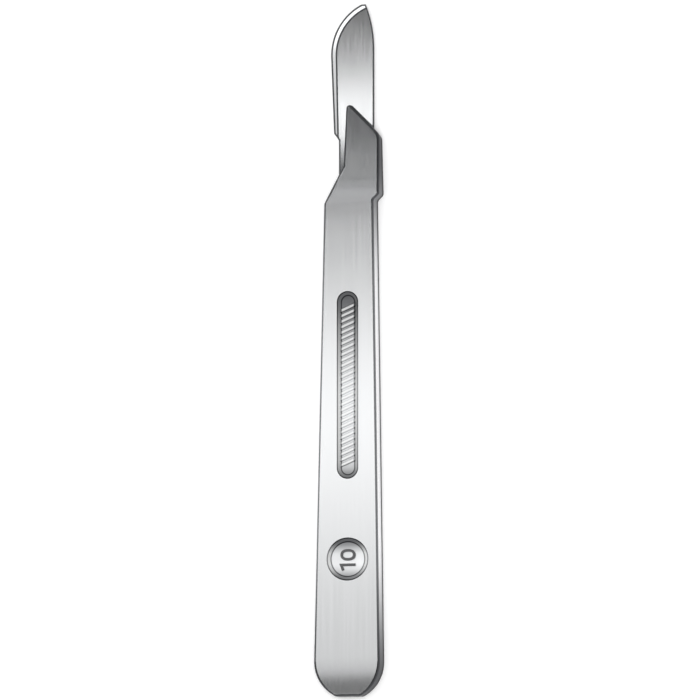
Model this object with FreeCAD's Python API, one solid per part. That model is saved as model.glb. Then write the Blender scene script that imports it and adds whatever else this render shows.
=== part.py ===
import FreeCAD, Part
import math
import os

# A one-use scalpel: a flat steel handle with a No. 10 pattern blade fixed under its nose.
# Millimetres. It lies on its back, with +Z out of its front face, +Y towards the tip of the
# blade and +X towards the spine of the blade. The origin is under the middle of its box.

# Handle, plan view
handle_length = 109.3
rear_width = 12.74
rear_flat_width = 4.8
rear_chamfer_height = 2.35
rear_blend_radius = 7.0
rear_flat_corner_radius = 1.0
neck_left = 4.36
neck_right = 5.14
recess_line_x = 0.19

# Nose of the handle, plan view
nose_left = 0.5
nose_right = 5.94
nose_taper_degrees = 1.4
nose_tip_radius = 0.6
nose_slant_degrees = 45.0
nose_slant_corner_radius = 2.2
nose_slant_lean_degrees = 15.0
shoulder_from_tip = 11.4
shoulder_length = 6.9
shoulder_top_radius = 1.5
shoulder_base_radius = 1.2
spine_step_from_tip = 16.75
spine_step_corner_radius = 0.6
spine_step_inner_radius = 0.8

# Handle, side view
handle_thickness = 3.5
nose_fall_degrees = 5.2
nose_fall_from_tip = 16.8
nose_fall_blend_radius = 60.0
rear_fall_degrees = 12.0
rear_fall_start = 3.5
rear_fall_blend_radius = 33.0
front_edge_radius = 0.5
back_edge_radius = 0.3

# Finger grip, the same on both faces
grip_from_rear = 57.35
grip_length = 34.5
grip_width = 3.9
grip_depth = 0.4
grip_wall_degrees = 60.0
rib_pitch = 1.02
rib_field_length = 28.7
rib_angle_degrees = 23.0
rib_base_width = 0.72
rib_top_width = 0.4
rib_height = 0.28
rib_overlap = 0.2

# Round recess for the blade's size number
number_from_rear = 25.2
number_rim_radius = 3.88
number_floor_radius = 3.2
number_depth = 0.3
number_dish = 0.15

# Blade
blade_reach = 18.7
blade_thickness = 0.4
cutting_length = 23.8
belly_radius = 10.3
tip_width = 0.8
heel_width = 7.62
heel_drop = 1.3
edge_lean_degrees = 2.3
spine_radius = 22.0
spine_drop = 1.6
bevel_width = 1.1
heel_bevel_width = 0.8
edge_land = 0.03
shank_width = 6.63
shank_end_from_nose_tip = 14.3
shank_end_slant = 2.4

# Seat of the blade in the nose, and the studs that hold it
blade_from_nose_side = 1.4
blade_rise = 0.6
seat_clearance = 0.05
stud_from_spine = 3.25
front_stud_diameter = 2.2
front_stud_head = 3.3
front_stud_from_nose_tip = 3.4
rear_stud_diameter = 3.2
rear_stud_head = 4.3
rear_stud_from_nose_tip = 12.6
stud_head_height = 0.4
stud_root_depth = 0.5
stud_clearance = 0.05
keyhole_wide_length = 5.0

# Places that follow from the sizes
overall_length = handle_length + blade_reach
rear_y = -overall_length / 2
nose_tip_y = rear_y + handle_length
blade_tip_y = nose_tip_y + blade_reach
spine_x = nose_right - blade_from_nose_side
shank_x = spine_x - shank_width
heel_y = blade_tip_y - cutting_length
shank_end_y = nose_tip_y - shank_end_from_nose_tip
spine_end_y = shank_end_y - shank_end_slant
blade_top_z = blade_rise + blade_thickness
stud_x = spine_x - stud_from_spine
front_stud_y = nose_tip_y - front_stud_from_nose_tip
rear_stud_y = nose_tip_y - rear_stud_from_nose_tip

# How far a cutting tool runs past the surface that it opens
overrun = 1.0


def point(x, y, z=0.0):
    return FreeCAD.Vector(x, y, z)


def line(start, end):
    return Part.LineSegment(start, end).toShape()


def arc(start, middle, end):
    return Part.Arc(start, middle, end).toShape()


def rounded_wire(corners, place=point):
    """Closed wire through (u, v, radius) corners, each rounded by its radius."""
    points = [place(u, v) for u, v, radius in corners]
    starts, middles, ends = [], [], []
    for i, corner in enumerate(points):
        before = (points[i - 1] - corner).normalize()
        after = (points[(i + 1) % len(points)] - corner).normalize()
        radius = corners[i][2]
        half_angle = before.getAngle(after) / 2
        tangent = radius / math.tan(half_angle)
        inward = (before + after).normalize()
        starts.append(corner + before * tangent)
        ends.append(corner + after * tangent)
        middles.append(corner + inward * (radius / math.sin(half_angle) - radius))
    edges = []
    for i in range(len(points)):
        if corners[i][2] > 0:
            edges.append(arc(starts[i], middles[i], ends[i]))
        following = starts[(i + 1) % len(points)]
        if ends[i].distanceToPoint(following) > 1e-6:
            edges.append(line(ends[i], following))
    return Part.Wire(edges)


def slot_wire(width, length, z):
    """Round-ended slot along Y, centred on the origin at height z."""
    x, y, radius = width / 2, length / 2, width / 2
    corners = [(x, -y, radius), (x, y, radius), (-x, y, radius), (-x, -y, radius)]
    return rounded_wire(corners, lambda u, v: point(u, v, z))


def rib_wire(reach, width, z):
    """Slanted bar across the grip, with ends along Y, centred on the origin at height z."""
    angle = math.radians(rib_angle_degrees)
    x = reach / 2
    rise = x * math.tan(angle)
    half = width / math.cos(angle) / 2
    corners = [(-x, -rise - half), (x, rise - half), (x, rise + half), (-x, half - rise)]
    return rounded_wire([(u, v, 0.0) for u, v in corners], lambda u, v: point(u, v, z))


def prism(wire, height):
    return Part.Face(wire).extrude(point(0, 0, height))


def slant_start():
    """Point of the plan view where the rounded tip of the nose runs into its slant."""
    slant = math.radians(nose_slant_degrees)
    tip_centre = point(nose_tip_radius - nose_left, nose_tip_y - nose_tip_radius)
    return tip_centre + point(math.sin(slant), math.cos(slant)) * nose_tip_radius


def handle_outline():
    """Plan view of the handle, anticlockwise from the left end of its rear flat."""
    slope = math.tan(math.radians(nose_slant_degrees))
    taper = math.tan(math.radians(nose_taper_degrees))
    start = slant_start()
    nose_corner_y = start.y + (start.x + nose_left) * slope
    slant_end_y = start.y - (nose_right - start.x) * slope
    shoulder_y = nose_tip_y - shoulder_from_tip
    shoulder_x = -nose_left - (nose_corner_y - shoulder_y) * taper
    step_y = nose_tip_y - spine_step_from_tip
    step_x = nose_right + (slant_end_y - step_y) * taper
    step_width = step_x - neck_right
    chamfer_y = rear_y + rear_chamfer_height
    return rounded_wire([
        (-rear_flat_width / 2, rear_y, rear_flat_corner_radius),
        (rear_flat_width / 2, rear_y, rear_flat_corner_radius),
        (rear_width / 2, chamfer_y, rear_blend_radius),
        (neck_right, step_y - step_width, spine_step_inner_radius),
        (step_x, step_y, spine_step_corner_radius),
        (nose_right, slant_end_y, nose_slant_corner_radius),
        (-nose_left, nose_corner_y, nose_tip_radius),
        (shoulder_x, shoulder_y, shoulder_top_radius),
        (-neck_left, shoulder_y - shoulder_length, shoulder_base_radius),
        (-rear_width / 2, chamfer_y, rear_blend_radius),
    ])


def side_profile():
    """Side view of the handle: flat back, and a front that falls at the nose and the rear."""
    fall_y = nose_tip_y - nose_fall_from_tip
    front_y = nose_tip_y + overrun
    front_z = handle_thickness - (front_y - fall_y) * math.tan(math.radians(nose_fall_degrees))
    roll_y = rear_y + rear_fall_start
    end_y = rear_y - overrun
    end_z = handle_thickness - (roll_y - end_y) * math.tan(math.radians(rear_fall_degrees))
    side_x = -rear_width
    return rounded_wire([
        (end_y, 0.0, 0.0),
        (front_y, 0.0, 0.0),
        (front_y, front_z, 0.0),
        (fall_y, handle_thickness, nose_fall_blend_radius),
        (roll_y, handle_thickness, rear_fall_blend_radius),
        (end_y, end_z, 0.0),
    ], lambda u, v: point(side_x, u, v))


def rim_edges(solid, outline):
    """Edges that run round the plan outline, as two lists: front and back."""
    front, back = [], []
    for edge in solid.Edges:
        middle_parameter = (edge.FirstParameter + edge.LastParameter) / 2
        middle = edge.valueAt(middle_parameter)
        upright = abs(edge.tangentAt(middle_parameter).z) > 0.7
        flat_middle = Part.Vertex(middle.x, middle.y, 0.0)
        on_outline = outline.distToShape(flat_middle)[0] < 1e-3
        if upright or not on_outline:
            continue
        if middle.z > handle_thickness / 3:
            front.append(edge)
        else:
            back.append(edge)
    return front, back


def handle_blank():
    outline = handle_outline()
    plan = prism(outline, handle_thickness)
    side = Part.Face(side_profile()).extrude(point(2 * rear_width, 0, 0))
    blank = plan.common(side).Solids[0]
    front, back = rim_edges(blank, outline)
    blank = blank.makeFillet(front_edge_radius, front)
    front, back = rim_edges(blank, outline)
    return blank.makeFillet(back_edge_radius, back)


def slant_relief():
    """Cutter that leans the slanted end of the nose in, from under its front edge to its back."""
    slant = math.radians(nose_slant_degrees)
    lean = math.tan(math.radians(nose_slant_lean_degrees))
    fall = math.tan(math.radians(nose_fall_degrees))
    run = nose_right + overrun
    start = slant_start()
    fall_y = nose_tip_y - nose_fall_from_tip
    start.z = handle_thickness - (start.y - fall_y) * fall - 1.1 * front_edge_radius
    along = point(math.cos(slant), -math.sin(slant), math.sin(slant) * fall)
    outward = point(math.sin(slant), math.cos(slant))
    start -= along * overrun
    depth = handle_thickness + overrun
    down = point(0, 0, -depth)
    section = Part.makePolygon([
        start,
        start + outward * run,
        start + outward * run + down,
        start - outward * depth * lean + down,
        start,
    ])
    return Part.Face(section).extrude(along * (run + overrun) / math.cos(slant))


def grip_recess():
    """Cutter for one finger grip, centred on the origin with the face at z = 0."""
    spread = math.tan(math.radians(grip_wall_degrees))
    floor_inset = 2 * grip_depth * spread
    mouth_growth = 2 * overrun * spread
    floor = slot_wire(grip_width - floor_inset, grip_length - floor_inset, -grip_depth)
    mouth = slot_wire(grip_width + mouth_growth, grip_length + mouth_growth, overrun)
    return Part.makeLoft([floor, mouth], True, True)


def grip_ribs():
    """Slanted ribs from wall to wall of one finger grip, in the frame of grip_recess."""
    spread = math.tan(math.radians(grip_wall_degrees))
    floor_width = grip_width - 2 * grip_depth * spread
    reach = floor_width + 2 * rib_overlap
    base = rib_wire(reach, rib_base_width, -grip_depth)
    top = rib_wire(reach, rib_top_width, rib_height - grip_depth)
    rib = Part.makeLoft([base, top], True, True)
    count = int(rib_field_length / rib_pitch) + 1
    first_y = -(count - 1) * rib_pitch / 2
    return [rib.translated(point(0, first_y + i * rib_pitch)) for i in range(count)]


def on_front(shape, y):
    return shape.translated(point(recess_line_x, y, handle_thickness))


def on_back(shape, y):
    turned = shape.copy()
    turned.rotate(point(0, 0), point(0, 1, 0), 180)
    return turned.translated(point(recess_line_x, y, 0))


def number_recess():
    """Cutter for the round number recess: a sloping wall round a slightly dished floor."""
    floor_z = -number_depth
    low_z = floor_z - number_dish
    dish_radius = (number_floor_radius**2 + number_dish**2) / (2 * number_dish)
    half = number_floor_radius / 2
    half_z = low_z + dish_radius - math.sqrt(dish_radius**2 - half**2)
    wall_slope = (number_rim_radius - number_floor_radius) / number_depth
    mouth_radius = number_rim_radius + overrun * wall_slope
    low = point(0, 0, low_z)
    floor_rim = point(number_floor_radius, 0, floor_z)
    mouth_rim = point(mouth_radius, 0, overrun)
    mouth_centre = point(0, 0, overrun)
    section = Part.Wire([
        arc(low, point(half, 0, half_z), floor_rim),
        line(floor_rim, mouth_rim),
        line(mouth_rim, mouth_centre),
        line(mouth_centre, low),
    ])
    return Part.Face(section).revolve(point(0, 0), point(0, 0, 1), 360)


def blade_seat():
    """Cutter for the seat under the nose, open to the front and to the cutting side."""
    wall_x = spine_x + seat_clearance
    far_x = -rear_width
    slope = shank_end_slant / shank_width
    end_clearance = seat_clearance * math.hypot(1, slope)
    end_y = spine_end_y - end_clearance
    wall_end_y = end_y - slope * seat_clearance
    far_end_y = end_y + slope * (spine_x - far_x)
    far_y = blade_tip_y
    corners = [
        (wall_x, wall_end_y, 0.0),
        (wall_x, far_y, 0.0),
        (far_x, far_y, 0.0),
        (far_x, far_end_y, 0.0),
    ]
    outline = rounded_wire(corners, lambda u, v: point(u, v, -overrun))
    return prism(outline, blade_top_z + overrun)


def stud(y, diameter, head_diameter):
    """Stud from the roof of the seat through the blade, headed over the back of the blade."""
    height = blade_thickness + stud_root_depth
    shaft = Part.makeCylinder(diameter / 2, height, point(stud_x, y, blade_rise))
    head_radius = head_diameter / 2
    dome_radius = (head_radius**2 + stud_head_height**2) / (2 * stud_head_height)
    half = head_radius / 2
    crown_z = blade_rise - stud_head_height
    half_z = crown_z + dome_radius - math.sqrt(dome_radius**2 - half**2)
    crown = point(stud_x, y, crown_z)
    brim = point(stud_x + head_radius, y, blade_rise)
    centre = point(stud_x, y, blade_rise)
    section = Part.Wire([
        arc(crown, point(stud_x + half, y, half_z), brim),
        line(brim, centre),
        line(centre, crown),
    ])
    head = Part.Face(section).revolve(centre, point(0, 0, 1), 360)
    return shaft.fuse(head)


def make_handle():
    grip_y = rear_y + grip_from_rear
    recess = grip_recess()
    ribs = grip_ribs()
    cutters = [
        on_front(recess, grip_y),
        on_back(recess, grip_y),
        on_front(number_recess(), rear_y + number_from_rear),
        slant_relief(),
        blade_seat(),
    ]
    additions = [on_front(rib, grip_y) for rib in ribs]
    additions += [on_back(rib, grip_y) for rib in ribs]
    additions.append(stud(front_stud_y, front_stud_diameter, front_stud_head))
    additions.append(stud(rear_stud_y, rear_stud_diameter, rear_stud_head))
    return handle_blank().cut(cutters).fuse(additions)


def edge_line():
    """Heel point, direction and inward normal of the straight part of the cutting edge."""
    heel = point(spine_x - heel_width, heel_y)
    lean = math.radians(edge_lean_degrees)
    direction = point(-math.sin(lean), math.cos(lean))
    inward = point(direction.y, -direction.x)
    return heel, direction, inward


def belly():
    """Centre of the belly's arc, and the point where it leaves the straight edge."""
    heel, direction, inward = edge_line()
    tip = point(spine_x - spine_drop - tip_width, blade_tip_y)
    offset = heel + inward * belly_radius - tip
    along = offset.dot(direction)
    reach = -along - math.sqrt(along**2 - offset.dot(offset) + belly_radius**2)
    start = heel + direction * reach
    return start + inward * belly_radius, start


def blade_outline():
    """Plan view of the blade, from the heel round the belly, the blunt tip and the spine."""
    heel, direction, inward = edge_line()
    centre, belly_start = belly()
    belly_end = point(spine_x - spine_drop - tip_width, blade_tip_y)
    tip = point(spine_x - spine_drop, blade_tip_y)
    to_middle = ((belly_start - centre) + (belly_end - centre)).normalize()
    belly_middle = centre + to_middle * belly_radius
    spine_top_y = blade_tip_y - math.sqrt(2 * spine_radius * spine_drop - spine_drop**2)
    spine_top = point(spine_x, spine_top_y)
    spine_centre = point(spine_x - spine_radius, spine_top_y)
    to_spine = ((tip - spine_centre) + (spine_top - spine_centre)).normalize()
    spine_middle = spine_centre + to_spine * spine_radius
    spine_end = point(spine_x, spine_end_y)
    shank_end = point(shank_x, shank_end_y)
    heel_low = point(shank_x, heel_y - heel_drop)
    return Part.Wire([
        line(heel, belly_start),
        arc(belly_start, belly_middle, belly_end),
        line(belly_end, tip),
        arc(tip, spine_middle, spine_top),
        line(spine_top, spine_end),
        line(spine_end, shank_end),
        line(shank_end, heel_low),
        line(heel_low, heel),
    ])


def bevel_section(origin, outward, width):
    """Section that the grinding wheel takes off above a bevel of this width, at a point of the edge."""
    half_thickness = blade_thickness / 2
    slope = (half_thickness - edge_land / 2) / width
    outer_z = edge_land / 2 - slope * overrun
    top_z = half_thickness + overrun
    up = point(0, 0, 1)
    inner = origin - outward * width
    outer = origin + outward * overrun
    return Part.makePolygon([
        inner + up * half_thickness,
        outer + up * outer_z,
        outer + up * top_z,
        inner + up * top_z,
        inner + up * half_thickness,
    ])


def bevel_cutters():
    """Grinding of one side: wider towards the belly, then even round it."""
    heel, direction, inward = edge_line()
    centre, belly_start = belly()
    start = heel - direction * heel_drop
    outward = inward * -1
    heel_section = bevel_section(start, outward, heel_bevel_width)
    belly_section = bevel_section(belly_start, outward, bevel_width)
    straight = Part.makeLoft([heel_section, belly_section], True, True)
    around = Part.Face(belly_section).revolve(centre, point(0, 0, -1), 90)
    return [straight, around]


def make_blade():
    middle_z = blade_rise + blade_thickness / 2
    blank = prism(blade_outline(), blade_thickness)
    blank = blank.translated(point(0, 0, -blade_thickness / 2))
    grinding = bevel_cutters()
    far_side = [tool.mirror(point(0, 0), point(0, 0, 1)) for tool in grinding]
    narrow_width = front_stud_diameter + 2 * stud_clearance
    wide_width = rear_stud_diameter + 2 * stud_clearance
    narrow_length = front_stud_y - rear_stud_y + narrow_width
    narrow = prism(slot_wire(narrow_width, narrow_length, -blade_thickness), 2 * blade_thickness)
    wide = prism(slot_wire(wide_width, keyhole_wide_length, -blade_thickness), 2 * blade_thickness)
    wide_y = rear_stud_y + (keyhole_wide_length - wide_width) / 2
    keyhole = [
        narrow.translated(point(stud_x, (front_stud_y + rear_stud_y) / 2)),
        wide.translated(point(stud_x, wide_y)),
    ]
    blade = blank.cut(grinding + far_side + keyhole)
    return blade.translated(point(0, 0, middle_z))


def save(name, shape):
    """Write a piece that has to be one valid solid."""
    solid = shape.removeSplitter().Solids[0]
    print(name, "valid", solid.isValid(), "solids", len(shape.Solids), "volume", round(solid.Volume, 2))
    solid.exportStep("parts/" + name + ".step")


os.makedirs("parts", exist_ok=True)
save("handle", make_handle())
save("blade", make_blade())
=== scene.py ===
import math

import bmesh
import bpy
from mathutils import Matrix, Vector


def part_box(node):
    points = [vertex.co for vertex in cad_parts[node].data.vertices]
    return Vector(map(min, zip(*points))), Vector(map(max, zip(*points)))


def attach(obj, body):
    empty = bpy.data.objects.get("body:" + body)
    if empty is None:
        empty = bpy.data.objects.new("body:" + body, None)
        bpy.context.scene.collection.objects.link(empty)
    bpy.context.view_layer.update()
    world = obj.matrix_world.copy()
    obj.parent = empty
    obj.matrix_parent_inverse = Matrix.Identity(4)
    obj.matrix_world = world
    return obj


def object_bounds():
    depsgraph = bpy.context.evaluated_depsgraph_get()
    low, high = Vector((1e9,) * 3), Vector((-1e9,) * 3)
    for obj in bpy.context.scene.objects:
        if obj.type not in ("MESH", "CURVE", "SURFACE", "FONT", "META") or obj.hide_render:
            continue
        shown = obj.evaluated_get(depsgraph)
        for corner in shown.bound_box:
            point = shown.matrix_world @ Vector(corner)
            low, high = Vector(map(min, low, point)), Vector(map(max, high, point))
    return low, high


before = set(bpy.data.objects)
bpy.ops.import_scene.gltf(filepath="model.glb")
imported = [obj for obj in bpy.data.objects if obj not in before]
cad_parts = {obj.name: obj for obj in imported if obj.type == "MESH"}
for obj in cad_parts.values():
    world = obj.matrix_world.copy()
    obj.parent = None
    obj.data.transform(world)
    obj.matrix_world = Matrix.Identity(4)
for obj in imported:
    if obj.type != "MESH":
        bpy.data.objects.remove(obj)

# A one-use scalpel with a satin steel handle and a ground blade, lying on its back on a pale
# floor and seen from above. Metres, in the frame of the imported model: +Z comes out of the
# front face, +Y runs to the tip of the blade and +X to its spine.

CAD_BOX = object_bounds()
MM = 0.001

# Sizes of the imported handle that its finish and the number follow
REAR_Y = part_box("handle")[0].y
FACE_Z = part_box("handle")[1].z
MIDDLE_Z = FACE_Z / 2
RECESS_LINE_X = 0.19 * MM
GRIP_Y = REAR_Y + 57.35 * MM
GRIP_RADIUS = 1.95 * MM
GRIP_HALF_STRAIGHT = 15.3 * MM
GRIP_FLOOR_RADIUS = 1.26 * MM
RIB_TOP_Z = FACE_Z - 0.12 * MM
NUMBER_Y = REAR_Y + 25.2 * MM
NUMBER_RIM_RADIUS = 3.88 * MM
NUMBER_FLOOR_RADIUS = 3.2 * MM
NUMBER_FLOOR_Z = FACE_Z - 0.45 * MM

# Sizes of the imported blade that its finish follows: the belly, the straight edge that leans
# from it to the heel, the heel's slope down to the narrower shank, and the spine's arc
SPINE_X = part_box("blade")[1].x
BLADE_TIP_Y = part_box("blade")[1].y
BELLY_RADIUS = 10.3 * MM
BELLY_CENTRE = (6.66 * MM, BLADE_TIP_Y - 9.26 * MM, 0)
EDGE_LEAN = math.radians(2.3)
EDGE_STRAIGHT = 15.6 * MM
BEVEL_WIDTH = 1.1 * MM
HEEL_BEVEL_WIDTH = 0.8 * MM
HEEL_X = SPINE_X - 7.62 * MM
HEEL_Y = BLADE_TIP_Y - 23.8 * MM
HEEL_SLOPE = 1.3 / 0.99
SHANK_X = SPINE_X - 6.63 * MM
SPINE_RADIUS = 22.0 * MM
SPINE_CENTRE = (SPINE_X - SPINE_RADIUS, BLADE_TIP_Y - 8.23 * MM, 0)

# Grain of the finishes as drawn, and the part of a noise's range that most of it fills
BRUSHING_WIDTH = 0.35 * MM
BRUSHING_LENGTH = 30 * MM
BRUSHING_DEPTH = 0.01 * MM
BRUSHING_STRENGTH = 0.05
ROLLED_GRAIN_WIDTH = 0.3 * MM
ROLLED_GRAIN_LENGTH = 6 * MM
GRINDING_WIDTH = 0.12 * MM
BLACKING_GRAIN = 0.15 * MM
GRAIN_RANGE = (0.3, 0.7)

# Roughness, from least to most where it follows the grain
BRUSHED_ROUGHNESS = (0.22, 0.26)
RECESS_ROUGHNESS = 0.36
BLADE_ROUGHNESS = (0.15, 0.19)
BLADE_LINE_ROUGHNESS = 0.45
BLACKING_ROUGHNESS = 0.6

# Share of its own colour in what the handle's steel mirrors at a grazing angle, so that dark
# places stay dark there
GRAZING_TINT = 0.45

# How far the surface faces up (or down) or sideways where one finish turns into the next: on
# the handle the face into the edge, and the edge's wall into its rounded rim, and on the blade
# the rolled face into the bevel, and the bevel into the blanked side
FACE_TO_EDGE_UPRIGHT = (0.955, 0.92)
FACE_TO_EDGE_SIDEWAYS = (0.08, 0.17)
WALL_TO_RIM_UPRIGHT = (0.3, 0.42)
FACE_TO_BEVEL_UPRIGHT = (0.998, 0.992)
BEVEL_TO_SIDE_UPRIGHT = (0.6, 0.4)

# Painted shade that greys the face over the neck and the nose, where its reflection darkens: millimetres
# from the middle of the frame, and the share of painted grey
NOSE_PAINTED_SHADE = (
    (21.12, 0.0), (23.81, 0.12), (26.56, 0.42), (27.84, 0.62), (30.08, 0.7), (32.32, 0.55),
    (35.84, 0.52), (39.68, 0.78), (42.24, 0.91), (46.08, 1.0),
)

# Blanked edge of the handle, whose tones are painted light and shade: where its painted highlight is
# brightest, how far from there painted shade dulls it, the heights of the torn foot, painted dark as a
# shadow line, and of the sheared band, painted bright as a highlight, as parts of the thickness, and
# where painted shade darkens the rim towards the nose
EDGE_PAINTED_HIGHLIGHT_Y = -13 * MM
EDGE_PAINTED_SHADE_SPAN = (22 * MM, 48 * MM)
SHADOWED_TORN_FOOT_TOP = 0.28
HIGHLIGHTED_SHEARED_BAND_FOOT = 0.38
RIM_PAINTED_SHADE_Y = (30 * MM, 36 * MM)

# Recesses: the span that a distance from their middle line is divided by, how far past their rim their
# finish reaches, the half widths at which the fine dark lines of painted shade along their walls are full
# and gone, and the depths below a rib's top over which its flank goes from the gap's painted shade to the
# top
RECESS_SPAN = 5 * MM
RECESS_MARGIN = 0.1 * MM
RECESS_LINE_FULL = 0.09 * MM
RECESS_LINE_GONE = 0.14 * MM
RIB_FLANK = (0.16 * MM, 0.06 * MM)

# Colours in the recesses, lit and under the deepest painted shade
RECESS_COLOURS = {
    "gap": ("#e6e7e8", "#5a5b5d"),
    "rib top": ("#e6e7e7", "#c8c9c9"),
    "number floor": ("#e4e5e6", "#858688"),
    "wall": ("#f0f1f1", "#6c6d6f"),
    "line": ("#858688", "#27282a"),
}

# Painted shade in the number's recess and in the grips, deepest at their ends and between the first ribs:
# millimetres from the rear end, and how deep it is there
RECESS_PAINTED_SHADE_SPAN = 80 * MM
RECESS_PAINTED_SHADE = (
    (21.4, 1.0), (22.2, 0.85), (23.2, 0.35), (24.2, 0.0), (26.2, 0.0), (27.2, 0.5), (27.8, 0.85),
    (28.4, 1.0), (40.0, 1.0), (41.2, 0.75), (42.2, 0.45), (43.5, 0.28), (47.7, 0.12), (51.5, 0.02),
    (56.0, 0.0), (58.9, 0.12), (64.2, 0.4), (68.0, 0.62), (71.6, 0.9), (74.0, 1.0),
)

# Fine dark lines of painted shade along the blade's edges: how far inside the outline they start and are
# full, their widths at the heel and beside the shank, and the one along the bevel's border, which lies a
# little towards the edge
HONED_LINE = (0.36 * MM, 0.26 * MM)
SPINE_LINE = (0.26 * MM, 0.18 * MM)
TIP_LINE = (0.3 * MM, 0.22 * MM)
HEEL_LINE_WIDTH = 0.5 * MM
SHANK_LINE_WIDTH = 0.28 * MM
BORDER_LINE_SHIFT = 0.06 * MM
BORDER_LINE_HALF_WIDTH = 0.17 * MM

# Distances behind the heel over which painted shade darkens the blade's faces, and how dark it gets
SEAT_PAINTED_SHADE_SPAN = (0.5 * MM, 6.7 * MM)
SEAT_PAINTED_SHADE_DEPTH = 0.9

# The raised number 10, read with the blade on the right, and the section of its strokes
NUMBER_HEIGHT = 2.82 * MM
NUMBER_TOP_Z = FACE_Z - 0.14 * MM
STROKE_WIDTH = 0.46 * MM
STROKE_TOP_SHARE = 0.8
STROKE_SHOULDER = 0.05 * MM
STROKE_ROOT = 0.1 * MM
LEAST_MITRE = 0.3
ZERO_WIDTH = 2.1 * MM
ZERO_ALONG = 0.8 * MM
ZERO_SQUARENESS = 0.85
ZERO_POINTS = 48
ONE_ALONG = -1.04 * MM
ONE_FLAG_REACH = 1.0 * MM
ONE_FLAG_DROP = 0.4 * MM

# Camera: looks down, tilted towards the spine side and a little towards the rear
CAMERA_TARGET = Vector((0.201, -0.056, 1.75)) * MM
CAMERA_DISTANCE = 3.0
CAMERA_TILT_RIGHT = math.radians(15.0)
CAMERA_TILT_REAR = math.radians(5.3)
CAMERA_CLIP = (0.1, 10.0)
PIXELS_PER_METRE = 5430.0
IMAGE_PIXELS = 700
SENSOR_MM = 36.0

# Lamps, each from one corner to the other in millimetres, its height and its radiance. The
# steel mirrors all but the fill, which stands where the camera is and so hides its own shadow.
BANK_HEIGHT = 160
LAMPS = {
    "bank_rear": ((-150, -80), (60, -28), BANK_HEIGHT, 0.75),
    "bank_grip_rear": ((-150, -28), (60, -8), BANK_HEIGHT, 1.15),
    "bank_grip": ((-150, -8), (60, 14), BANK_HEIGHT, 1.62),
    "bank_grip_front": ((-150, 14), (60, 22), BANK_HEIGHT, 1.2),
    "bank_neck": ((-150, 22), (60, 35), BANK_HEIGHT, 0.9),
    "blade_base": ((-72, 55), (-5, 66), BANK_HEIGHT, 2.3),
    "blade_middle": ((-72, 66), (-5, 75), BANK_HEIGHT, 0.45),
    "bevel_heel": ((-150, 42), (-84, 66), BANK_HEIGHT, 0.15),
    "bevel_side": ((-150, 66), (-84, 84), BANK_HEIGHT, 0.4),
    "bevel_belly": ((-150, 84), (-84, 100), BANK_HEIGHT, 1.2),
    "bevel_tip": ((-140, 100), (-58, 160), BANK_HEIGHT, 1.6),
    "fill": ((-70, -400), (560, 230), 870, 3.2),
}

# Surroundings: a dim ceiling and pale walls, the sines of the elevations between which one
# goes into the other, the floor, and the glow that lifts its paper to full white
CEILING_BRIGHTNESS = 0.1
WALLS_BRIGHTNESS = 0.78
CEILING_EDGE = 0.9
WALLS_TOP = 0.84
FLOOR_HALF_WIDTH = 5.0
FLOOR_GAP = 0.01 * MM
PAPER_LIFT = 0.08


def linear(hex_colour):
    """An sRGB hex colour as linear RGBA."""
    channels = [int(hex_colour[i:i + 2], 16) / 255 for i in (1, 3, 5)]
    return (*[c / 12.92 if c <= 0.04045 else ((c + 0.055) / 1.055) ** 2.4 for c in channels], 1.0)


def add_node(tree, kind, inputs=None, stops=None, **settings):
    """Adds a node with its settings. An input is a value, or the output that is linked to it,
    and the stops of a colour ramp are (position, grey or colour) pairs. Inputs that share a name
    go by number: 0 is a mix's share, 2 and 3 are its two values, and 6 and 7 its two colours."""
    node = tree.nodes.new(kind)
    for name, value in settings.items():
        setattr(node, name, value)
    for key, value in (inputs or {}).items():
        if isinstance(value, bpy.types.NodeSocket):
            tree.links.new(value, node.inputs[key])
        else:
            node.inputs[key].default_value = value
    if stops:
        elements = node.color_ramp.elements
        while len(elements) < len(stops):
            elements.new(1.0)
        for element, (position, value) in zip(elements, stops):
            element.position = position
            element.color = value if isinstance(value, tuple) else (value, value, value, 1.0)
    return node


def new_material(name):
    """An empty node material, its tree and its output node."""
    material = bpy.data.materials.new(name)
    material.use_nodes = True
    tree = material.node_tree
    tree.nodes.clear()
    output = tree.nodes.new("ShaderNodeOutputMaterial")
    return material, tree, output


def place_on_part(tree):
    """Place in the frame of the model, its three axes, and how much the surface faces each way."""
    coordinates = add_node(tree, "ShaderNodeTexCoord").outputs
    place = coordinates["Object"]
    axes = add_node(tree, "ShaderNodeSeparateXYZ", {"Vector": place}).outputs
    normal = add_node(tree, "ShaderNodeVectorMath", {0: coordinates["Normal"]}, operation="ABSOLUTE")
    facing = add_node(tree, "ShaderNodeSeparateXYZ", {"Vector": normal.outputs[0]}).outputs
    return place, axes, facing


def recess_reach(tree, place, middle, half_straight):
    """Distance in plan from the middle line of a round or round-ended recess, over RECESS_SPAN."""
    shift = add_node(tree, "ShaderNodeVectorMath", {0: place, 1: middle}, operation="SUBTRACT")
    flat = add_node(tree, "ShaderNodeVectorMath", {
        0: shift.outputs[0], 1: (1, 1, 0)}, operation="MULTIPLY")
    fold = add_node(tree, "ShaderNodeVectorMath", {0: flat.outputs[0]}, operation="ABSOLUTE")
    past = add_node(tree, "ShaderNodeVectorMath", {
        0: fold.outputs[0], 1: (0, half_straight, 0)}, operation="SUBTRACT")
    ends = add_node(tree, "ShaderNodeVectorMath", {
        0: past.outputs[0], 1: (0, 0, 0)}, operation="MAXIMUM")
    reach = add_node(tree, "ShaderNodeVectorMath", {0: ends.outputs[0]}, operation="LENGTH")
    return add_node(tree, "ShaderNodeMath", {
        0: reach.outputs["Value"], 1: RECESS_SPAN}, operation="DIVIDE").outputs[0]


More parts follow.
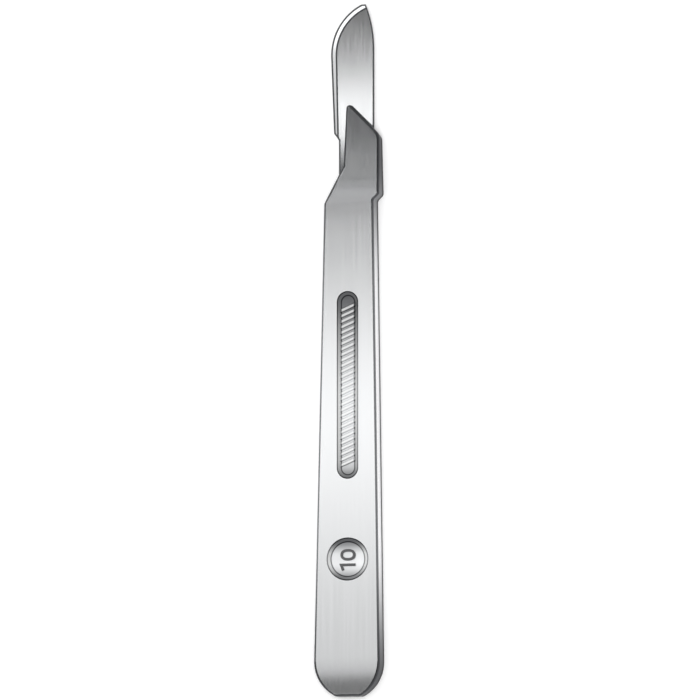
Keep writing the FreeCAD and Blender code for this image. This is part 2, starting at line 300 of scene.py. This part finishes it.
def outline_reach(tree, place, centre, lean):
    """Distance in plan from the centre of an arc and, beside the straight run that it ends in,
    from the line through the centre along the run. Also the place along that line, and the
    place turned with it."""
    turned = add_node(tree, "ShaderNodeMapping", {
        "Vector": place, "Location": centre, "Rotation": (0, 0, lean)}, vector_type="TEXTURE")
    flat = add_node(tree, "ShaderNodeVectorMath", {
        0: turned.outputs[0], 1: (1, 1, 0)}, operation="MULTIPLY")
    past = add_node(tree, "ShaderNodeVectorMath", {
        0: flat.outputs[0], 1: (-1, 0, 0)}, operation="MAXIMUM")
    reach = add_node(tree, "ShaderNodeVectorMath", {0: past.outputs[0]}, operation="LENGTH")
    along = add_node(tree, "ShaderNodeSeparateXYZ", {"Vector": turned.outputs[0]}).outputs["Y"]
    return reach.outputs["Value"], along, turned.outputs[0]


def line_stops(edges):
    """Ramp stops that mark fine dark lines of painted shade at some distances from the middle of a
    recess.
    """
    stops = [(0.0, 0.0)]
    for edge in edges:
        for offset, value in (
                (-RECESS_LINE_GONE, 0.0), (-RECESS_LINE_FULL, 1.0),
                (RECESS_LINE_FULL, 1.0), (RECESS_LINE_GONE, 0.0)):
            stops.append(((edge + offset) / RECESS_SPAN, value))
    return stops


def recess_colour_with_painted_shade(tree, place, axes):
    """Colour inside the grips and the number's recess, and the mask of where they are. Painted shade
    darkens the foot and the rim of their walls as fine lines and the gaps between the ribs, and lies
    deepest at their ends and between the first ribs. On the back, where there is no number, its recess is
    put out of reach."""
    grip = recess_reach(tree, place, (RECESS_LINE_X, GRIP_Y, 0), GRIP_HALF_STRAIGHT)
    on_back = add_node(tree, "ShaderNodeMath", {0: axes["Z"], 1: MIDDLE_Z}, operation="LESS_THAN")
    number = add_node(tree, "ShaderNodeMath", {
        0: recess_reach(tree, place, (RECESS_LINE_X, NUMBER_Y, 0), 0.0),
        1: on_back.outputs[0]}, operation="ADD").outputs[0]

    from_rear = add_node(tree, "ShaderNodeMapRange", {
        "Value": axes["Y"], "From Min": REAR_Y, "From Max": REAR_Y + RECESS_PAINTED_SHADE_SPAN})
    painted_shade_depth = add_node(tree, "ShaderNodeValToRGB", {"Fac": from_rear.outputs["Result"]}, [
        (from_end * MM / RECESS_PAINTED_SHADE_SPAN, amount) for from_end, amount in RECESS_PAINTED_SHADE]).outputs["Color"]
    colours = {}
    for part, (lit, shaded) in RECESS_COLOURS.items():
        colours[part] = add_node(tree, "ShaderNodeMix", {
            0: painted_shade_depth, 6: linear(lit), 7: linear(shaded)}, data_type="RGBA").outputs[2]

    from_middle = add_node(tree, "ShaderNodeMath", {0: axes["Z"], 1: MIDDLE_Z}, operation="SUBTRACT")
    outward = add_node(tree, "ShaderNodeMath", {0: from_middle.outputs[0]}, operation="ABSOLUTE")
    # Painted shade in the gaps between the ribs: each flank goes from the gap's colour to the rib's top
    rib_height = add_node(tree, "ShaderNodeMapRange", {
        "Value": outward.outputs[0], "From Min": RIB_TOP_Z - MIDDLE_Z - RIB_FLANK[0],
        "From Max": RIB_TOP_Z - MIDDLE_Z - RIB_FLANK[1]})
    ribs = add_node(tree, "ShaderNodeMix", {
        0: rib_height.outputs["Result"], 6: colours["gap"], 7: colours["rib top"]}, data_type="RGBA")

    colour = colours["wall"]
    inside = 0.0
    for reach, floor_radius, rim_radius, floor_colour in (
            (grip, GRIP_FLOOR_RADIUS, GRIP_RADIUS, ribs.outputs[2]),
            (number, NUMBER_FLOOR_RADIUS, NUMBER_RIM_RADIUS, colours["number floor"])):
        on_floor = add_node(tree, "ShaderNodeMath", {
            0: reach, 1: floor_radius / RECESS_SPAN}, operation="LESS_THAN")
        colour = add_node(tree, "ShaderNodeMix", {
            0: on_floor.outputs[0], 6: colour, 7: floor_colour}, data_type="RGBA").outputs[2]
        in_recess = add_node(tree, "ShaderNodeMath", {
            0: reach, 1: (rim_radius + RECESS_MARGIN) / RECESS_SPAN}, operation="LESS_THAN")
        inside = add_node(tree, "ShaderNodeMath", {
            0: in_recess.outputs[0], 1: inside}, operation="MAXIMUM").outputs[0]
    # Fine dark lines of painted shade along the foot and the rim of the recesses' walls
    grip_lines = add_node(tree, "ShaderNodeValToRGB", {"Fac": grip}, line_stops(
        (GRIP_FLOOR_RADIUS, GRIP_RADIUS)))
    number_lines = add_node(tree, "ShaderNodeValToRGB", {"Fac": number}, line_stops(
        (NUMBER_FLOOR_RADIUS, NUMBER_RIM_RADIUS)))
    lines = add_node(tree, "ShaderNodeMath", {
        0: grip_lines.outputs["Color"], 1: number_lines.outputs["Color"]}, operation="MAXIMUM")
    lined = add_node(tree, "ShaderNodeMix", {
        0: lines.outputs[0], 6: colour, 7: colours["line"]}, data_type="RGBA")
    return lined.outputs[2], inside


def blanked_edge_painted_light(tree, axes, upright):
    """Colour of the blanked edge of the handle, all painted light and shade: a rounded rim painted dull
    as shade, a sheared band painted bright as a highlight and a torn foot painted dark as a shadow line,
    all painted brightest beside the grip, and the rim's painted shade darkest round the nose."""
    from_grip = add_node(tree, "ShaderNodeMath", {
        0: axes["Y"], 1: EDGE_PAINTED_HIGHLIGHT_Y}, operation="SUBTRACT")
    away = add_node(tree, "ShaderNodeMath", {0: from_grip.outputs[0]}, operation="ABSOLUTE")
    towards_ends = add_node(tree, "ShaderNodeMapRange", {
        "Value": away.outputs[0], "From Min": EDGE_PAINTED_SHADE_SPAN[0], "From Max": EDGE_PAINTED_SHADE_SPAN[1]},
        interpolation_type="SMOOTHSTEP").outputs["Result"]
    height = add_node(tree, "ShaderNodeMath", {0: axes["Z"], 1: FACE_Z}, operation="DIVIDE").outputs[0]
    # Painted highlight on the sheared band and painted shadow on the torn foot, brightest beside the grip
    # and darker towards both ends
    bright = add_node(tree, "ShaderNodeValToRGB", {"Fac": height}, [
        (SHADOWED_TORN_FOOT_TOP, linear("#57585a")), (HIGHLIGHTED_SHEARED_BAND_FOOT, linear("#f2f2f3"))])
    dull = add_node(tree, "ShaderNodeValToRGB", {"Fac": height}, [
        (SHADOWED_TORN_FOOT_TOP, linear("#2c2d2f")), (HIGHLIGHTED_SHEARED_BAND_FOOT, linear("#58595c"))])
    wall = add_node(tree, "ShaderNodeMix", {
        0: towards_ends, 6: bright.outputs["Color"], 7: dull.outputs["Color"]}, data_type="RGBA")
    # Painted shade on the rounded rim, darker towards both ends and darkest round the nose
    long_rim = add_node(tree, "ShaderNodeMix", {
        0: towards_ends, 6: linear("#88898b"), 7: linear("#4d4e50")}, data_type="RGBA")
    towards_nose = add_node(tree, "ShaderNodeMapRange", {
        "Value": axes["Y"], "From Min": RIM_PAINTED_SHADE_Y[0], "From Max": RIM_PAINTED_SHADE_Y[1]})
    rim = add_node(tree, "ShaderNodeMix", {
        0: towards_nose.outputs["Result"], 6: long_rim.outputs[2], 7: linear("#434446")},
        data_type="RGBA")
    on_rim = add_node(tree, "ShaderNodeMapRange", {
        "Value": upright, "From Min": WALL_TO_RIM_UPRIGHT[0], "From Max": WALL_TO_RIM_UPRIGHT[1]})
    return add_node(tree, "ShaderNodeMix", {
        0: on_rim.outputs["Result"], 6: wall.outputs[2], 7: rim.outputs[2]}, data_type="RGBA").outputs[2]


def satin_stainless_steel():
    """Stainless steel, fine-brushed along the handle: soft wide reflections with faint long lines,
    painted shade over the nose, painted highlight and shade on the blanked edge, and painted shade in the
    recesses, which are also duller where the brush doesn't reach. The brushing is drawn three times as
    coarse as it is, so that it shows."""
    material, tree, output = new_material("satin_stainless_steel")
    place, axes, facing = place_on_part(tree)
    stretched = add_node(tree, "ShaderNodeMapping", {
        "Vector": place, "Scale": (1 / BRUSHING_WIDTH, 1 / BRUSHING_LENGTH, 1 / BRUSHING_WIDTH)})
    brushing = add_node(tree, "ShaderNodeTexNoise", {
        "Vector": stretched.outputs[0], "Scale": 1.0, "Detail": 3.0, "Roughness": 0.6}).outputs["Fac"]
    bright_face = add_node(tree, "ShaderNodeMix", {
        0: brushing, 6: linear("#cfd0d1"), 7: linear("#dadbdc")}, data_type="RGBA")
    towards_tip = add_node(tree, "ShaderNodeMath", {0: axes["Y"], 1: BLADE_TIP_Y}, operation="DIVIDE")
    # Painted shade: the face is painted greyer over the neck and the nose, where its reflection darkens.
    grey = add_node(tree, "ShaderNodeValToRGB", {"Fac": towards_tip.outputs[0]}, [
        (from_middle * MM / BLADE_TIP_Y, share) for from_middle, share in NOSE_PAINTED_SHADE])
    face = add_node(tree, "ShaderNodeMix", {
        0: grey.outputs["Color"], 6: bright_face.outputs[2], 7: linear("#8f9092")}, data_type="RGBA")
    falling = add_node(tree, "ShaderNodeMapRange", {
        "Value": facing["Z"], "From Min": FACE_TO_EDGE_UPRIGHT[0], "From Max": FACE_TO_EDGE_UPRIGHT[1]})
    leaning = add_node(tree, "ShaderNodeMapRange", {
        "Value": facing["X"], "From Min": FACE_TO_EDGE_SIDEWAYS[0], "From Max": FACE_TO_EDGE_SIDEWAYS[1]})
    off_face = add_node(tree, "ShaderNodeMath", {
        0: falling.outputs["Result"], 1: leaning.outputs["Result"]}, operation="MAXIMUM")
    outside = add_node(tree, "ShaderNodeMix", {
        0: off_face.outputs[0], 6: face.outputs[2], 7: blanked_edge_painted_light(tree, axes, facing["Z"])},
        data_type="RGBA")
    recess_colour, inside = recess_colour_with_painted_shade(tree, place, axes)
    colour = add_node(tree, "ShaderNodeMix", {
        0: inside, 6: outside.outputs[2], 7: recess_colour}, data_type="RGBA")

    brushed = add_node(tree, "ShaderNodeMapRange", {
        "Value": brushing, "From Min": GRAIN_RANGE[0], "From Max": GRAIN_RANGE[1],
        "To Min": BRUSHED_ROUGHNESS[0], "To Max": BRUSHED_ROUGHNESS[1]})
    roughness = add_node(tree, "ShaderNodeMix", {
        0: inside, 2: brushed.outputs["Result"], 3: RECESS_ROUGHNESS})
    bump = add_node(tree, "ShaderNodeBump", {
        "Height": brushing, "Strength": BRUSHING_STRENGTH, "Distance": BRUSHING_DEPTH})
    tint = add_node(tree, "ShaderNodeMix", {
        0: GRAZING_TINT, 6: linear("#ffffff"), 7: colour.outputs[2]}, data_type="RGBA")
    steel = add_node(tree, "ShaderNodeBsdfPrincipled", {
        "Base Color": colour.outputs[2], "Metallic": 1.0, "Roughness": roughness.outputs[0],
        "Specular Tint": tint.outputs[2], "Normal": bump.outputs["Normal"]})
    tree.links.new(steel.outputs["BSDF"], output.inputs["Surface"])
    return material


def grinding_lines(tree, turned):
    """Fine lines across the bevel, all along the straight edge and round the belly."""
    axes = add_node(tree, "ShaderNodeSeparateXYZ", {"Vector": turned}).outputs
    rise = add_node(tree, "ShaderNodeMath", {0: axes["Y"], 1: 0.0}, operation="MAXIMUM")
    run = add_node(tree, "ShaderNodeMath", {0: axes["Y"], 1: 0.0}, operation="MINIMUM")
    out = add_node(tree, "ShaderNodeMath", {0: axes["X"], 1: -1.0}, operation="MULTIPLY")
    angle = add_node(tree, "ShaderNodeMath", {
        0: rise.outputs[0], 1: out.outputs[0]}, operation="ARCTAN2")
    along_edge = add_node(tree, "ShaderNodeMath", {
        0: angle.outputs[0], 1: BELLY_RADIUS, 2: run.outputs[0]}, operation="MULTIPLY_ADD")
    return add_node(tree, "ShaderNodeTexNoise", {
        "W": along_edge.outputs[0], "Scale": 1 / GRINDING_WIDTH, "Detail": 2.0},
        noise_dimensions="1D").outputs["Fac"]


def blade_painted_shade_lines(tree, place, axes, upright, edge_reach, along):
    """Mask of the painted shade on the blade: fine dark lines painted along the honed edge, the bevel's
    border, the spine, the blunt tip and the heel, and the blanked sides painted dark."""
    honed = add_node(tree, "ShaderNodeMapRange", {
        "Value": edge_reach, "From Min": BELLY_RADIUS - HONED_LINE[0],
        "From Max": BELLY_RADIUS - HONED_LINE[1]})
    spine = add_node(tree, "ShaderNodeMapRange", {
        "Value": outline_reach(tree, place, SPINE_CENTRE, 0.0)[0],
        "From Min": SPINE_RADIUS - SPINE_LINE[0], "From Max": SPINE_RADIUS - SPINE_LINE[1]})
    tip = add_node(tree, "ShaderNodeMapRange", {
        "Value": axes["Y"], "From Min": BLADE_TIP_Y - TIP_LINE[0],
        "From Max": BLADE_TIP_Y - TIP_LINE[1]})
    side = add_node(tree, "ShaderNodeMapRange", {
        "Value": upright, "From Min": BEVEL_TO_SIDE_UPRIGHT[0], "From Max": BEVEL_TO_SIDE_UPRIGHT[1]})
    sloped = add_node(tree, "ShaderNodeMath", {
        0: axes["X"], 1: HEEL_SLOPE, 2: axes["Y"]}, operation="MULTIPLY_ADD")
    behind_heel = add_node(tree, "ShaderNodeMath", {
        0: sloped.outputs[0], 1: HEEL_Y + HEEL_SLOPE * HEEL_X + HEEL_LINE_WIDTH},
        operation="LESS_THAN")
    beside_shank = add_node(tree, "ShaderNodeMath", {
        0: axes["X"], 1: SHANK_X + SHANK_LINE_WIDTH}, operation="LESS_THAN")
    heel = add_node(tree, "ShaderNodeMath", {
        0: behind_heel.outputs[0], 1: beside_shank.outputs[0]}, operation="MULTIPLY")
    bevel_width = add_node(tree, "ShaderNodeMapRange", {
        "Value": along, "From Min": -EDGE_STRAIGHT, "From Max": 0.0,
        "To Min": HEEL_BEVEL_WIDTH, "To Max": BEVEL_WIDTH})
    past_border = add_node(tree, "ShaderNodeMath", {
        0: edge_reach, 1: bevel_width.outputs["Result"]}, operation="ADD")
    border = add_node(tree, "ShaderNodeMath", {
        0: past_border.outputs[0], 1: BELLY_RADIUS + BORDER_LINE_SHIFT, 2: BORDER_LINE_HALF_WIDTH},
        operation="COMPARE")
    dark = border.outputs[0]
    for line in (honed, spine, tip, side, heel):
        dark = add_node(tree, "ShaderNodeMath", {
            0: dark, 1: line.outputs[0]}, operation="MAXIMUM").outputs[0]
    return dark


def ground_blade_steel():
    """Hardened blade steel: bright rolled faces that painted shade greys towards the seat, blanked sides
    painted dark as shade, and a bevel ground across the edge, whose border and honed edge, like the
    spine, the blunt tip and the heel, carry fine dark lines of painted shade. The grain of the rolling is
    drawn three times as coarse as it is and the grinding lines four times, so that they show."""
    material, tree, output = new_material("ground_blade_steel")
    place, axes, facing = place_on_part(tree)
    edge_reach, along, turned = outline_reach(tree, place, BELLY_CENTRE, EDGE_LEAN)
    dark = blade_painted_shade_lines(tree, place, axes, facing["Z"], edge_reach, along)
    on_bevel = add_node(tree, "ShaderNodeMapRange", {
        "Value": facing["Z"], "From Min": FACE_TO_BEVEL_UPRIGHT[0],
        "From Max": FACE_TO_BEVEL_UPRIGHT[1]}).outputs["Result"]
    stretched = add_node(tree, "ShaderNodeMapping", {
        "Vector": place,
        "Scale": (1 / ROLLED_GRAIN_WIDTH, 1 / ROLLED_GRAIN_LENGTH, 1 / ROLLED_GRAIN_WIDTH)})
    rolling = add_node(tree, "ShaderNodeTexNoise", {
        "Vector": stretched.outputs[0], "Scale": 1.0, "Detail": 2.0}).outputs["Fac"]
    grinding = grinding_lines(tree, turned)
    rolled_steel = add_node(tree, "ShaderNodeMix", {
        0: rolling, 6: linear("#cfd0d1"), 7: linear("#e0e1e2")}, data_type="RGBA")
    ground_steel = add_node(tree, "ShaderNodeMix", {
        0: grinding, 6: linear("#c2c3c4"), 7: linear("#d2d3d4")}, data_type="RGBA")
    bright = add_node(tree, "ShaderNodeMix", {
        0: on_bevel, 6: rolled_steel.outputs[2], 7: ground_steel.outputs[2]}, data_type="RGBA")
    # Painted shade: the faces are painted darker behind the heel, towards the seat.
    towards_seat = add_node(tree, "ShaderNodeMapRange", {
        "Value": axes["Y"], "From Min": HEEL_Y - SEAT_PAINTED_SHADE_SPAN[0],
        "From Max": HEEL_Y - SEAT_PAINTED_SHADE_SPAN[1], "To Max": SEAT_PAINTED_SHADE_DEPTH})
    faces = add_node(tree, "ShaderNodeMix", {
        0: towards_seat.outputs["Result"], 6: bright.outputs[2], 7: linear("#6f7072")},
        data_type="RGBA")
    # Painted shade: the lines and the blanked sides are painted dark grey.
    colour = add_node(tree, "ShaderNodeMix", {
        0: dark, 6: faces.outputs[2], 7: linear("#515254")}, data_type="RGBA")

    grain = add_node(tree, "ShaderNodeMix", {0: on_bevel, 2: rolling, 3: grinding})
    polished = add_node(tree, "ShaderNodeMapRange", {
        "Value": grain.outputs[0], "From Min": GRAIN_RANGE[0], "From Max": GRAIN_RANGE[1],
        "To Min": BLADE_ROUGHNESS[0], "To Max": BLADE_ROUGHNESS[1]})
    roughness = add_node(tree, "ShaderNodeMix", {
        0: dark, 2: polished.outputs["Result"], 3: BLADE_LINE_ROUGHNESS})
    steel = add_node(tree, "ShaderNodeBsdfPrincipled", {
        "Base Color": colour.outputs[2], "Metallic": 1.0, "Roughness": roughness.outputs[0]})
    tree.links.new(steel.outputs["BSDF"], output.inputs["Surface"])
    return material


def number_blacking():
    """Baked blacking on the raised number: dark grey and dull, with a fine grain that is drawn three
    times as coarse as it is, so that it shows."""
    material, tree, output = new_material("number_blacking")
    place = add_node(tree, "ShaderNodeTexCoord").outputs["Object"]
    grain = add_node(tree, "ShaderNodeTexNoise", {
        "Vector": place, "Scale": 1 / BLACKING_GRAIN, "Detail": 2.0})
    colour = add_node(tree, "ShaderNodeMix", {
        0: grain.outputs["Fac"], 6: linear("#424243"), 7: linear("#585859")}, data_type="RGBA")
    paint = add_node(tree, "ShaderNodeBsdfPrincipled", {
        "Base Color": colour.outputs[2], "Roughness": BLACKING_ROUGHNESS})
    tree.links.new(paint.outputs["BSDF"], output.inputs["Surface"])
    return material


def white_paper():
    """Matt white studio paper, lifted just to full white where it is seen out of the shadow."""
    material, tree, output = new_material("white_paper")
    rays = add_node(tree, "ShaderNodeLightPath").outputs
    mirrored = add_node(tree, "ShaderNodeMath", {
        0: rays["Is Glossy Ray"], 1: rays["Is Transmission Ray"]}, operation="MAXIMUM")
    seen = add_node(tree, "ShaderNodeMath", {
        0: rays["Is Camera Ray"], 1: mirrored.outputs[0]}, operation="MAXIMUM")
    lift = add_node(tree, "ShaderNodeMath", {0: seen.outputs[0], 1: PAPER_LIFT}, operation="MULTIPLY")
    paper = add_node(tree, "ShaderNodeBsdfPrincipled", {
        "Base Color": linear("#fcfcfc"), "Roughness": 1.0, "Specular IOR Level": 0.0,
        "Emission Color": linear("#ffffff"), "Emission Strength": lift.outputs[0]})
    tree.links.new(paper.outputs["BSDF"], output.inputs["Surface"])
    return material


def stroke_mesh(name, path, closed):
    """A raised stroke along a path of (along, up) points of the number, with sloping shoulders
    and its root below the dished floor."""
    half_base = STROKE_WIDTH / 2
    half_top = half_base * STROKE_TOP_SHARE
    root_z = NUMBER_FLOOR_Z - STROKE_ROOT
    shoulder_z = NUMBER_TOP_Z - STROKE_SHOULDER
    section = [
        (-half_base, root_z), (-half_base, shoulder_z), (-half_top, NUMBER_TOP_Z),
        (half_top, NUMBER_TOP_Z), (half_base, shoulder_z), (half_base, root_z)]
    mesh = bmesh.new()
    count = len(path)
    rings = []
    for i, here in enumerate(path):
        before = path[i - 1] if closed or i > 0 else here
        after = path[(i + 1) % count] if closed or i < count - 1 else here
        into = (here - before).normalized()
        out = (after - here).normalized()
        heading = (into + out).normalized()
        side = Vector((-heading.y, heading.x))
        straight = out if into.length == 0 else into
        stretch = 1 / max(LEAST_MITRE, heading.dot(straight))
        ring = []
        for offset, z in section:
            spot = here + side * offset * stretch
            ring.append(mesh.verts.new((RECESS_LINE_X - spot.y, NUMBER_Y + spot.x, z)))
        rings.append(ring)
    for i in range(count if closed else count - 1):
        ring = rings[i]
        following = rings[(i + 1) % count]
        for k in range(len(section)):
            n = (k + 1) % len(section)
            mesh.faces.new((ring[k], ring[n], following[n], following[k]))
    if not closed:
        mesh.faces.new(rings[0])
        mesh.faces.new(reversed(rings[-1]))
    bmesh.ops.recalc_face_normals(mesh, faces=mesh.faces)
    data = bpy.data.meshes.new(name)
    mesh.to_mesh(data)
    mesh.free()
    piece = bpy.data.objects.new(name, data)
    bpy.context.scene.collection.objects.link(piece)
    return piece


def number_zero():
    """The 0: an upright oval, its path down the middle of the stroke."""
    across = (ZERO_WIDTH - STROKE_WIDTH) / 2
    up = (NUMBER_HEIGHT - STROKE_WIDTH) / 2
    path = []
    for i in range(ZERO_POINTS):
        angle = 2 * math.pi * i / ZERO_POINTS
        c = math.cos(angle)
        s = math.sin(angle)
        path.append(Vector((
            ZERO_ALONG + across * math.copysign(abs(c) ** ZERO_SQUARENESS, c),
            up * math.copysign(abs(s) ** ZERO_SQUARENESS, s))))
    return stroke_mesh("number_zero", path, closed=True)


def number_one():
    """The 1: a flag and a stem."""
    top = (NUMBER_HEIGHT - STROKE_WIDTH / 2) / 2
    foot = -NUMBER_HEIGHT / 2
    path = [
        Vector((ONE_ALONG - ONE_FLAG_REACH, top - ONE_FLAG_DROP)),
        Vector((ONE_ALONG, top)),
        Vector((ONE_ALONG, foot)),
    ]
    return stroke_mesh("number_one", path, closed=False)


def dress(piece, material):
    """Puts one material on the whole of a piece."""
    piece.data.materials.clear()
    piece.data.materials.append(material)


def make_lamp(name, low, high, height, radiance):
    """A flat overhead lamp of even brightness, facing down."""
    data = bpy.data.lights.new(name, "AREA")
    data.shape = "RECTANGLE"
    data.size = (high[0] - low[0]) * MM
    data.size_y = (high[1] - low[1]) * MM
    data.energy = radiance * math.pi * data.size * data.size_y
    lamp = bpy.data.objects.new(name, data)
    lamp.location = Vector(((low[0] + high[0]) / 2, (low[1] + high[1]) / 2, height)) * MM
    lamp.visible_camera = False
    lamp.visible_glossy = name != "fill"
    bpy.context.scene.collection.objects.link(lamp)


def make_floor():
    """A wide sheet of white paper just under the handle."""
    mesh = bmesh.new()
    bmesh.ops.create_grid(mesh, x_segments=1, y_segments=1, size=FLOOR_HALF_WIDTH)
    data = bpy.data.meshes.new("floor")
    mesh.to_mesh(data)
    mesh.free()
    floor = bpy.data.objects.new("floor", data)
    floor.location.z = CAD_BOX[0].z - FLOOR_GAP
    bpy.context.scene.collection.objects.link(floor)
    dress(floor, white_paper())


def make_world():
    """Pale walls all round, up to a dim ceiling."""
    world = bpy.data.worlds.new("studio")
    world.use_nodes = True
    tree = world.node_tree
    tree.nodes.clear()
    direction = add_node(tree, "ShaderNodeTexCoord").outputs["Generated"]
    height = add_node(tree, "ShaderNodeSeparateXYZ", {"Vector": direction}).outputs["Z"]
    brightness = add_node(tree, "ShaderNodeMapRange", {
        "Value": height, "From Min": CEILING_EDGE, "From Max": WALLS_TOP,
        "To Min": CEILING_BRIGHTNESS, "To Max": WALLS_BRIGHTNESS}, interpolation_type="SMOOTHSTEP")
    background = add_node(tree, "ShaderNodeBackground", {
        "Color": linear("#ffffff"), "Strength": brightness.outputs["Result"]})
    output = add_node(tree, "ShaderNodeOutputWorld")
    tree.links.new(background.outputs["Background"], output.inputs["Surface"])
    bpy.context.scene.world = world


def make_camera():
    """A long lens high above the handle."""
    turn = Matrix.Rotation(CAMERA_TILT_RIGHT, 4, "Y") @ Matrix.Rotation(CAMERA_TILT_REAR, 4, "X")
    data = bpy.data.cameras.new("camera")
    data.sensor_width = SENSOR_MM
    data.lens = SENSOR_MM * PIXELS_PER_METRE * CAMERA_DISTANCE / IMAGE_PIXELS
    data.clip_start = CAMERA_CLIP[0]
    data.clip_end = CAMERA_CLIP[1]
    camera = bpy.data.objects.new("camera", data)
    back = turn @ Vector((0, 0, CAMERA_DISTANCE))
    camera.matrix_world = Matrix.Translation(CAMERA_TARGET + back) @ turn
    bpy.context.scene.collection.objects.link(camera)
    bpy.context.scene.camera = camera


dress(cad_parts["handle"], satin_stainless_steel())
dress(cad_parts["blade"], ground_blade_steel())
blacking = number_blacking()
for digit in (number_zero(), number_one()):
    dress(digit, blacking)
    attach(digit, "root")

make_floor()
make_world()
for lamp_name, lamp_place in LAMPS.items():
    make_lamp(lamp_name, *lamp_place)
make_camera()
bpy.context.scene.view_settings.view_transform = "Standard"
